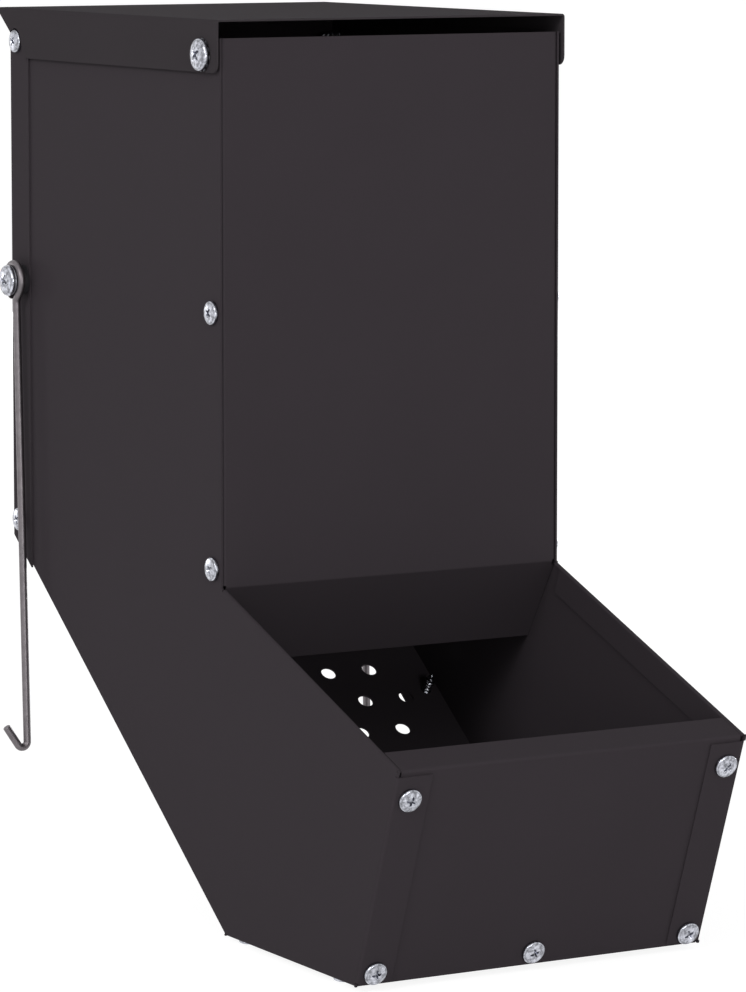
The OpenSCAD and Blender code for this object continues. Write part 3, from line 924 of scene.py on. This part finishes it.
@dataclass
class Housing:
    """Outlines of the folded sheets that the fasteners sit on, as in the CAD model.

    Attributes:
        half: half the width over the side panels.
        sheet: thickness of the steel.
        face_mid: height of the origin above the underside of the trough.
        heel: distance of the floor's rear edge in front of the cage face.
        floor_len: length of the level floor.
        front_lean: lean of the trough's front wall, in degrees.
        chute_ang: angle of the chute, in degrees.
        seam_x: distance of the seams' screws from the middle.
        nodes: the CAD nodes of the sheets, without the lid.
    """

    half: float = 60.0
    sheet: float = 0.6
    face_mid: float = 190.15
    heel: float = 1.4
    floor_len: float = 80.5
    front_lean: float = 20.1
    chute_ang: float = 36.5
    seam_x: float = 54.5
    nodes: tuple[str, ...] = ("left_side_panel", "right_side_panel", "front_panel", "back_panel",
                              "feed_chute", "trough_front")

    def dress(self) -> None:
        """Gives every folded sheet its powder coat."""
        for node in (*self.nodes, "lid"):
            # The lid takes the lighter copy of the coat, painted light.
            finish = Finish.LID_LIT_COAT if node == "lid" else Finish.COAT
            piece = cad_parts[node]
            piece.data.materials.clear()
            piece.data.materials.append(finish.material())
            LOG.info("%s: powder coat on the CAD solid", node)

    def on_wall(self, x: float, along: float, inset: float = 0.0, spin: float = 0.0) -> np.ndarray:
        """Place on the trough's front wall, along from its foot and inset below its face."""
        foot_y = -self.heel - self.floor_len
        return self.under(x, foot_y, spin, -1, 90 - self.front_lean, along, inset)

    def under_chute(self, x: float, along: float, spin: float = 0.0) -> np.ndarray:
        """Place under the chute, a distance up from its foot."""
        return self.under(x, -self.heel, spin, 1, self.chute_ang, along)

    def under(self, x: float, y: float, spin: float, way: int = 1, rise: float = 0.0,
              along: float = 0.0, inset: float = 0.0) -> np.ndarray:
        """Place on the outside of a sheet that leaves the trough's underside at a slope.

        Args:
            x: distance from the middle.
            y: where the sheet leaves the underside.
            spin: turn about the sheet's normal, in degrees.
            way: 1 where the sheet climbs towards +Y, -1 where towards -Y.
            rise: its angle above the level, in degrees.
            along: distance up the sheet.
            inset: how far below its outer face.

        Returns:
            A 4 by 4 matrix.
        """
        c, s = math.cos(math.radians(rise)), math.sin(math.radians(rise))
        foot, out = np.array([x, y, -self.face_mid]), np.array([0, way * s, -c])
        return frame_at(foot + along * np.array([0, way * c, s]) - inset * out, out, spin)


def outward(side: Side, x: float, y: float, z: float, spin: float = 0.0) -> np.ndarray:
    """Place on a side, pointing outwards, at a distance x from the middle."""
    return frame_at([side.value * x, y, z], [side.value, 0, 0], spin)


@dataclass
class SmallScrews:
    """Self-tapping screws of the seams.

    Attributes:
        housing: what they sit on.
        head: their head.
        thread: their shank.
        wall_up: distances of the front wall's screws up from its foot.
        floor_y: where the floor's screws are along Y.
        chute_up: distance of the chute's screws up from its foot.
        front_y: where the front seams' screws are along Y.
        front_up: their heights above the underside.
        back_y: where the back seams' screws are along Y.
        back_up: their heights above the underside.
        wall_turns: turns of the front wall's screws, in degrees, the middle one last.
        floor_turn: how much further each floor screw is turned than the one before.
        chute_turns: turns of the chute's screws.
        front_turn: how much further a front seam's upper screw is turned than its lower one.
        back_turn: the same for a back seam.
    """

    housing: Housing
    head: CrossHead = CrossHead(7.4, 1.8, 3.4, 0.9, 1.7)
    thread: Thread = Thread(1.3, 1.72, 1.27, 8.0, 2.6, 0.5)
    wall_up: Pair = (4.4, 62.42)
    floor_y: Pair = (-8.0, -66.5)
    chute_up: float = 92.0
    front_y: float = 5.0
    front_up: Pair = (112.2, 190.4)
    back_y: float = 137.8
    back_up: Pair = (112.2, 268.3)
    wall_turns: tuple[float, ...] = (8, -14, 31, 52, 20)
    floor_turn: float = 17
    chute_turns: Pair = (12, 64)
    front_turn: float = 30
    back_turn: float = 41

    def build(self) -> None:
        """Builds the screws of every seam, each turned its own way."""
        one = screw(self.head, self.thread)
        groups = {**self.trough_places(), **self.side_places()}
        for node, places in groups.items():
            shell = Shell.join([one.placed(place) for place in places])
            lay(f"{node}_threaded", shell, Finish.SCREW, "housing", node)

    def trough_places(self) -> dict[str, list[np.ndarray]]:
        """Places on the trough's wall and under the floor and the chute.

        Returns:
            CAD node to its screws' places.
        """
        h, x, (low, top) = self.housing, self.housing.seam_x, self.wall_up
        wall_at = [(-x, low), (-x, top), (x, low), (x, top), (0, low, h.sheet)]
        floor_at = [(side * x, y) for y in self.floor_y for side in (-1, 1)]
        return {
            "trough_front_screws": [h.on_wall(*at, spin=turn)
                                    for at, turn in zip(wall_at, self.wall_turns)],
            "floor_screws": [h.under(*at, self.floor_turn * i) for i, at in enumerate(floor_at)],
            "chute_screws": [h.under_chute(at_x, self.chute_up, turn)
                             for at_x, turn in zip((-x, x), self.chute_turns)],
        }

    def side_places(self) -> dict[str, list[np.ndarray]]:
        """Places on the seams of both sides.

        Returns:
            CAD node to its screws' places.
        """
        h, made = self.housing, {}
        first_turns = {Side.LEFT: 23, Side.RIGHT: 57}
        seams = (("front", h.half, self.front_y, self.front_up, self.front_turn),
                 ("back", h.half + h.sheet, self.back_y, self.back_up, self.back_turn))
        for side, first in first_turns.items():
            for seam, x, y, heights, more in seams:
                made[f"{side.word}_{seam}_screws"] = [
                    outward(side, x, y, up - h.face_mid, first + more * i)
                    for i, up in enumerate(heights)]
        return made


@dataclass
class PivotHardware:
    """Pivot screws of the lid and the hooks with their nuts, washers and bushes.

    Attributes:
        housing: what they sit on.
        head: the screws' head.
        core_r: the threads' core radius.
        crest_r: their crest radius.
        pitch: their pitch.
        plain: length of the plain shank below a head.
        hole: radius of the holes that the shank passes.
        washer_r: outer radius of spacers and spring washers.
        nut_flats: width of the nuts across their flats.
        nut_h: the nuts' height.
        past: how far a screw's end stands past its nut.
        lid_at: the lid's pivot in Y and Z.
        lid_nut_x: inner face of the lid's nut.
        skirt_x: outer face of the lid's skirt.
        spacer: thickness of the spacer inside the skirt.
        lock: room that the toothed washer takes.
        hook_at: a hook's pivot in Y and Z.
        collar: length of the bush's collar.
        bush_r: radius of the bush's sleeve.
        eye_x: outer face of a hook's eye.
        spring: room that the spring washer takes.
    """

    housing: Housing
    head: CrossHead = CrossHead(10.0, 2.2, 4.6, 1.1, 1.4)
    core_r: float = 2.08
    crest_r: float = 2.48
    pitch: float = 0.8
    plain: float = 1.0
    hole: float = 2.58
    washer_r: float = 4.8
    nut_flats: float = 8.0
    nut_h: float = 4.0
    past: float = 1.5
    lid_at: Pair = (8.0, 78.15)
    lid_nut_x: float = 54.7
    skirt_x: float = 61.5
    spacer: float = 0.8
    lock: float = 0.6
    hook_at: Pair = (134.3, 0.85)
    collar: float = 1.95
    bush_r: float = 4.0
    eye_x: float = 65.25
    spring: float = 0.5

    def build(self) -> None:
        """Builds both sides."""
        for side in Side:
            self.build_lid_pivot(side)
            self.build_hook_pivot(side)

    def lay_screw_and_nut(self, side: Side, joint: str, at: Pair,
                          head_x: float, nut_x: float, turns: Pair) -> None:
        """Lays a machine screw that ends just past its nut, and the nut.

        Args:
            side: which side they are on.
            joint: the joint's word in the nodes' names.
            at: the pivot in Y and Z.
            head_x: underside of the head, from the middle.
            nut_x: inner face of the nut, from the middle.
            turns: turns of the screw and of the nut, in degrees.
        """
        shank = Thread(self.core_r, self.crest_r, self.pitch, head_x - nut_x + self.past,
                       plain=self.plain)
        nut = hex_nut(self.nut_flats, self.nut_h, self.hole, self.pitch)
        word = side.word
        lay(f"{word}_{joint}_pivot_screw",
            screw(self.head, shank).placed(outward(side, head_x, *at, turns[0])),
            Finish.SCREW, "housing", f"{word}_{joint}_screw")
        lay(f"{word}_{joint}_pivot_nut", nut.placed(outward(side, nut_x, *at, turns[1])),
            Finish.WASHER, "housing", f"{word}_{joint}_nut")

    def build_lid_pivot(self, side: Side) -> None:
        """Builds one pivot of the lid.

        Args:
            side: which side it is on.
        """
        lock_r, teeth, air, edge = 5.05, 12, 0.1, 0.08
        self.lay_screw_and_nut(side, "lid", self.lid_at, self.skirt_x + self.lock,
                               self.lid_nut_x, (38 if side is Side.LEFT else 12, 15))
        bar = bar_outline(self.hole, self.washer_r, self.spacer, edge)
        spacer = revolved(*bar.T, closed=True).placed(
            outward(side, self.housing.half, *self.lid_at))
        lock = toothed_washer(self.hole, lock_r, self.lock - air, teeth).placed(
            outward(side, self.skirt_x + air, *self.lid_at, spin=7))
        lay(f"{side.word}_lid_pivot_washers", Shell.join([spacer, lock]), Finish.WASHER,
            "housing", f"{side.word}_lid_washers", sharp=25)

    def build_hook_pivot(self, side: Side) -> None:
        """Builds one pivot of a hook.

        Args:
            side: which side it is on.
        """
        h, word, hole = self.housing, side.word, self.hole
        back_face = h.half + h.sheet
        self.lay_screw_and_nut(side, "hook", self.hook_at, self.eye_x + self.spring,
                               h.half - h.sheet - self.nut_h,
                               (-16 if side is Side.LEFT else 33, 4))
        collar_r, end, edge, fillet = 1.2 * self.bush_r, self.eye_x - back_face, 0.1, 0.15
        line = rounded_outline(
            [(collar_r, 0), (collar_r, self.collar), (self.bush_r, self.collar),
             (self.bush_r, end), (hole, end), (hole, 0)], [edge, edge, fillet, edge, edge, edge])
        bush = revolved(*line.T, closed=True)
        lay(f"{word}_hook_pivot_bush", bush.placed(outward(side, back_face, *self.hook_at)),
            Finish.NYLON, "housing", f"{word}_hook_bush")
        lift, air, gap_at = 0.1, 0.02, 205
        spring = split_washer(hole, self.washer_r, self.spring - lift - air, lift, gap_at)
        lay(f"{word}_hook_pivot_washer", spring.placed(outward(side, self.eye_x, *self.hook_at)),
            Finish.WASHER, "housing", f"{word}_hook_washers")


@dataclass
class WireHook:
    """Swinging hook: one wire bent to an eye, a jog, a long arm and a turned-out end.

    Attributes:
        side: which side it hangs on.
        wire_r: the wire's radius.
        pivot: its pivot as distance from the middle, Y and Z.
        eye_r: radius of the eye's centre line.
        eye_turn: angle that the eye is bent through, in degrees.
        jog_r: radius of the bend below the eye.
        arm_off: how far the arm passes in front of the pivot.
        length: from the pivot down to the end's bend.
        end_r: radius of the end's bend.
        end_turn: angle of the end's bend, in degrees.
        end_len: straight length of the end.
        lean: forward lean of the hanging hook, in degrees.
        burr: how far the cut ends' edges are taken off.
        around: points round the wire.
    """

    side: Side
    wire_r: float = 1.25
    pivot: Triple = (63.9, 134.3, 0.85)
    eye_r: float = 5.33
    eye_turn: float = 295.0
    jog_r: float = 2.5
    arm_off: float = 1.2
    length: float = 150.7
    end_r: float = 1.8
    end_turn: float = 147.0
    end_len: float = 7.5
    lean: float = 2.2
    burr: float = 0.18
    around: int = 20

    def centre_line(self) -> tuple[np.ndarray, np.ndarray, np.ndarray]:
        """Points, tangents and one normal along the wire's middle, before the lean.

        The eye is an arc in the Y-Z plane, the jog leaves it at 45 degrees, a small arc turns
        it into the upright arm, and the end is an arc in the X-Z plane followed by a straight.

        Returns:
            Three arrays of shape (n, 3).
        """
        leaves, jog_at = 225, 45
        eye_n, jog_n, arm_n, end_n, tail_n = 60, 8, 26, 24, 6
        eye = np.radians(np.linspace(leaves - self.eye_turn, leaves, eye_n))
        c, s = np.cos(eye), np.sin(eye)
        eye_p, eye_t = stacked(0, self.eye_r * c, self.eye_r * s), stacked(0, -s, c)
        corner_z = eye_p[-1, 2] - (-self.arm_off - eye_p[-1, 1])
        arm_top = corner_z - self.jog_r * math.tan(math.radians(jog_at / 2))
        jog = np.radians(np.linspace(jog_at, 0, jog_n))
        c, s = np.cos(jog), np.sin(jog)
        jog_p = stacked(0, -self.arm_off - self.jog_r + self.jog_r * c, arm_top + self.jog_r * s)
        jog_t = stacked(0, s, -c)
        run = np.linspace(0, 1, arm_n)[1:-1]
        arm_p = stacked(0, -self.arm_off, arm_top + (-self.length - arm_top) * run)
        arm_t = np.tile([0.0, 0.0, -1.0], (len(run), 1))
        end = np.radians(np.linspace(0, self.end_turn, end_n))
        c, s = np.cos(end), np.sin(end)
        end_p = stacked(-self.end_r + self.end_r * c, -self.arm_off, -self.length - self.end_r * s)
        end_t = stacked(-s, 0, -c)
        last = np.linspace(0, 1, tail_n)[1:, None]
        tail_p = end_p[-1] + last * self.end_len * end_t[-1]
        tail_t = np.tile(end_t[-1], (len(last), 1))
        first = [eye_p, jog_p, arm_p]
        points = np.concatenate([*first, end_p, tail_p])
        tangents = np.concatenate([eye_t, jog_t, arm_t, end_t, tail_t])
        upright = sum(len(p) for p in first)
        normals = np.cross(tangents, [0.0, 1.0, 0.0])
        normals[:upright] = [1.0, 0.0, 0.0]
        return points, tangents, normals

    def shell(self) -> Shell:
        """Sweeps a circle along the centre line: p + r (cos a n + sin a t x n), with cut ends.

        Returns:
            The closed shell, in the feeder's frame.
        """
        points, tangents, normals = self.centre_line()
        across = np.cross(tangents, normals)
        points = np.concatenate([points[:1], points[:1] + self.burr * tangents[:1],
                                 points[1:-1], points[-1:] - self.burr * tangents[-1:],
                                 points[-1:]])
        keep = np.concatenate([[0, 0], np.arange(1, len(tangents) - 1), [len(tangents) - 1] * 2])
        normals, across = normals[keep], across[keep]
        radius = np.full(len(points), self.wire_r)
        radius[[0, -1]] -= self.burr
        radius = np.concatenate([[0], radius, [0]])
        edge = np.concatenate([[0], np.arange(len(points)), [len(points) - 1]])
        angle = np.linspace(0, 2 * np.pi, self.around, endpoint=False)[None, :, None]
        rings = points[edge][:, None] + radius[:, None, None] * (
            np.cos(angle) * normals[edge][:, None] + np.sin(angle) * across[edge][:, None])
        tube = Shell(rings.reshape(-1, 3), tube_faces(len(edge), self.around)).welded()
        tilt = math.radians(-self.lean)
        place = np.eye(4)
        place[1:3, 1:3] = [[math.cos(tilt), -math.sin(tilt)], [math.sin(tilt), math.cos(tilt)]]
        place[:3, 3] = [-self.pivot[0], self.pivot[1], self.pivot[2]]
        if self.side is Side.RIGHT:
            place = np.diag([-1.0, 1.0, 1.0, 1.0]) @ place
        return tube.placed(place)

    def build(self) -> None:
        """Lays the hook as a piece of its own body."""
        word = self.side.word
        lay(f"{word}_wire_hook", self.shell(), Finish.WIRE, f"{word}_hook", f"{word}_hook",
            sharp=40)


# Studio


@dataclass
class Softbox:
    """Square area lamp that looks at a point.

    Attributes:
        name: the lamp's name.
        at: where it hangs, in metres.
        size: edge length, in metres.
        power: power in watts.
        aim: the point that it looks at, in metres.
    """

    name: str
    at: Triple
    size: float
    power: float
    aim: Triple = (0.0, 0.02, 0.0)

    def build(self) -> None:
        """Adds the lamp."""
        lamp = bpy.data.lights.new(self.name, "AREA")
        lamp.shape, lamp.size, lamp.energy = "SQUARE", self.size, self.power
        turn = frame_at(np.array(self.at), np.array(self.at) - np.array(self.aim))
        linked(self.name, lamp).matrix_world = Matrix(turn.tolist())


@dataclass
class Studio:
    """White studio: a floor that keeps a soft shadow, an even white surround and softboxes.

    Attributes:
        floor_z: height of the floor, in metres.
        reach: how far the floor goes each way, in metres.
        ambient: strength of the surround as the feeder sees it.
        glow: the floor's own light, as the camera sees it.
        shadow: grey that lamps and shadow add to the glow.
        lamps: the softboxes.
    """

    floor_z: float = -0.1921
    reach: float = 30.0
    ambient: float = 0.38
    glow: float = 0.89
    shadow: float = 0.3
    lamps: list[Softbox] = field(default_factory=lambda: [
        Softbox("key", (-0.7, -1.8, 1.1), 1.0, 3.4),
        Softbox("fill", (1.5, -1.3, 0.5), 1.2, 0.8),
        Softbox("left", (-1.6, -0.7, 0.9), 0.7, 12.6),
        Softbox("low", (-0.3, -1.9, 0.0), 0.6, 10.5),
        Softbox("back", (0.9, 1.9, -0.05), 0.25, 8.0),
        Softbox("back_left", (-0.8, 1.9, -0.05), 0.2, 2.0),
        Softbox("right", (1.9, 1.0, -0.05), 0.25, 10.0),
    ])

    def seen(self, graph: Graph) -> Term:
        """Tells rays that show the surround itself: from the camera, a reflection or glass.

        Args:
            graph: the graph that asks.

        Returns:
            1 for such rays, 0 for others.
        """
        camera, glossy, through = (
            graph.add("ShaderNodeLightPath", out=name)
            for name in ("Is Camera Ray", "Is Glossy Ray", "Is Transmission Ray"))
        return camera.maximum(glossy.maximum(through))

    def build(self) -> None:
        """Builds floor, world and lamps."""
        self.build_floor()
        self.build_world()
        for lamp in self.lamps:
            lamp.build()

    def build_floor(self) -> None:
        """Adds the floor: seen directly it glows white, less a soft shadow."""
        far, z = self.reach, self.floor_z
        mesh = bpy.data.meshes.new("studio_floor")
        mesh.from_pydata([(-far, -far, z), (far, -far, z), (far, far, z), (-far, far, z)],
                         [], [(0, 1, 2, 3)])
        linked("studio_floor", mesh)
        material, graph = new_material("studio_floor")
        grey, pale = (*[self.shadow] * 3, 1.0), (0.9, 0.9, 0.9, 1.0)
        lit = graph.add("ShaderNodeBsdfDiffuse", {}, {"Color": grey})
        glow = graph.add("ShaderNodeEmission", {}, {"Color": WHITE, "Strength": self.glow})
        bright = graph.add("ShaderNodeAddShader", {}, {0: lit, 1: glow})
        plain = graph.add("ShaderNodeBsdfDiffuse", {}, {"Color": pale})
        both = graph.add("ShaderNodeMixShader", {}, {0: self.seen(graph), 1: plain, 2: bright})
        graph.add("ShaderNodeOutputMaterial", {}, {"Surface": both})
        mesh.materials.append(material)

    def build_world(self) -> None:
        """Sets the surround: white where it is seen, softer where it only lights."""
        world = bpy.data.worlds.new("studio")
        bpy.context.scene.world = world
        world.use_nodes = True
        graph = Graph(world.node_tree)
        strength = self.seen(graph) * (1 - self.ambient) + self.ambient
        light = graph.add("ShaderNodeBackground", {}, {"Color": WHITE, "Strength": strength})
        graph.add("ShaderNodeOutputWorld", {}, {"Surface": light})


@dataclass
class PhotoCamera:
    """Camera at the photograph's viewpoint.

    Attributes:
        at: where it stands, in metres.
        yaw: turn to the right of +Y, in degrees.
        pitch: how far it looks down, in degrees.
        focal_px: focal length in pixels of the long side.
        shift_y: upward shift of the frame.
        long_side: pixels of the photograph's long side.
        sensor_mm: width of the sensor.
        clip: nearest and farthest distance that it sees, in metres.
    """

    at: Triple = (-0.75988, -1.30739, 0.13650)
    yaw: float = 29.9382
    pitch: float = 5.9798
    focal_px: float = 4935.87
    shift_y: float = -0.12
    long_side: int = 992
    sensor_mm: float = 36.0
    clip: Pair = (0.05, 100.0)

    def build(self) -> None:
        """Adds the camera and makes it the scene's."""
        lens = bpy.data.cameras.new("photo_camera")
        lens.sensor_width = self.sensor_mm
        lens.lens = self.focal_px * self.sensor_mm / self.long_side
        lens.shift_y = self.shift_y
        lens.clip_start, lens.clip_end = self.clip
        made = linked("photo_camera", lens)
        made.location = self.at
        made.rotation_euler = (math.radians(90 - self.pitch), 0.0, math.radians(-self.yaw))
        bpy.context.scene.camera = made


def main() -> None:
    """Builds the feeder's pieces, the studio and the camera, and sets the Standard view transform.
    """
    logging.basicConfig(level=logging.INFO, format="%(name)s %(message)s")
    PhotoCamera().build()
    Studio().build()
    housing = Housing()
    housing.dress()
    SmallScrews(housing).build()
    PivotHardware(housing).build()
    for side in Side:
        WireHook(side).build()
    bpy.context.scene.view_settings.view_transform = "Standard"


if __name__ == "__main__":
    main()
